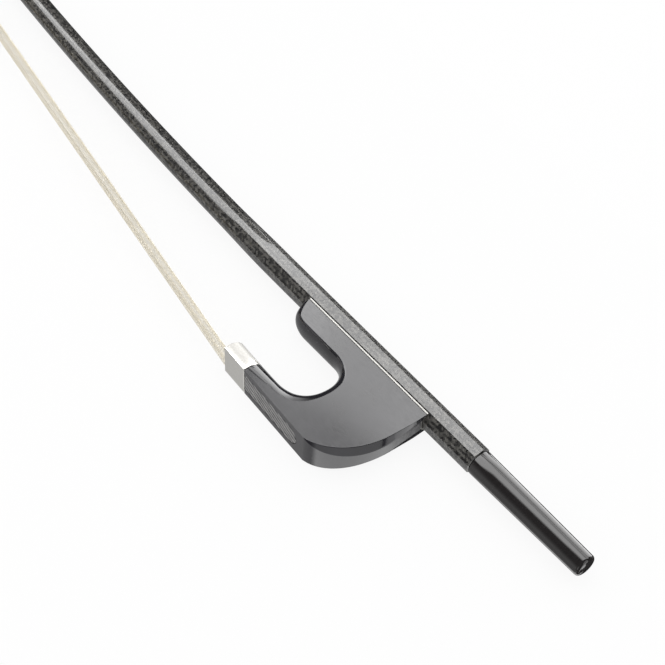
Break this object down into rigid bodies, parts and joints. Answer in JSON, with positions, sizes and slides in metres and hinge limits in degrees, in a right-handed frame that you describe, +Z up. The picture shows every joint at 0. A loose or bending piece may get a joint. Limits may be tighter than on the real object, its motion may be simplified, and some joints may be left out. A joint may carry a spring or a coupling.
{
  "type": "double bass bow",
  "caption": "Underhand double bass bow: woven carbon stick, black composite frog with half-round ferrule and slide, flat horsehair ribbon and long screw button.",
  "frame": {"origin": "middle of the lowest level of the bow as it lies on its side", "axes": "+X along the handle towards the button, -Y towards the hair, +Z up, square to the side of the frog"},
  "size_m": [0.775, 0.1224, 0.0183],
  "materials": {
    "woven_carbon": "woven carbon fibre under clear gloss",
    "black_composite": "polished black composite",
    "black_button": "polished black composite",
    "nickel_silver": "polished nickel silver",
    "screw_steel": "turned steel",
    "eyelet_brass": "milled brass",
    "grey_slide": "grey fibrous inlay, polished",
    "black_fibre": "black vulcanised fibre",
    "head_plate": "ivory-coloured plastic, satin",
    "maple": "plain maple",
    "horse_hair": "natural horsehair, rosined",
    "waxed_thread": "waxed linen thread"
  },
  "bodies": {
    "stick": {"stick": "woven_carbon", "head_liner": "black_fibre", "head_plate": "head_plate", "head_plug": "maple", "head_knot": "horse_hair", "head_knot_binding": "waxed_thread", "hair_ribbon": "horse_hair"},
    "frog": {"frog_body": "black_composite", "underslide": "nickel_silver", "liner_screw_front": "screw_steel", "liner_screw_rear": "screw_steel", "eyelet": "eyelet_brass", "ferrule": "nickel_silver", "slide": "grey_slide", "slide_backing": "black_fibre", "frog_plug": "maple", "frog_knot": "horse_hair", "frog_knot_binding": "waxed_thread", "ferrule_wedge": "maple"},
    "screw": {"screw": "screw_steel", "button": "black_button"}
  },
  "joints": [
    {"name": "frog_slide", "type": "slide", "parent": "stick", "child": "frog", "axis": [1, 0, 0], "range_m": [-0.0015, 0.0075]},
    {"name": "screw_turn", "type": "hinge", "parent": "stick", "child": "screw", "pos_m": [0.31999, -0.00634, 0.00915], "axis": [-1, 0, 0], "range_deg": [-720, 3600]}
  ],
  "couplings": [
    {"joint": "screw_turn", "follows": "frog_slide", "rad_per_m": 8377.6}
  ]
}
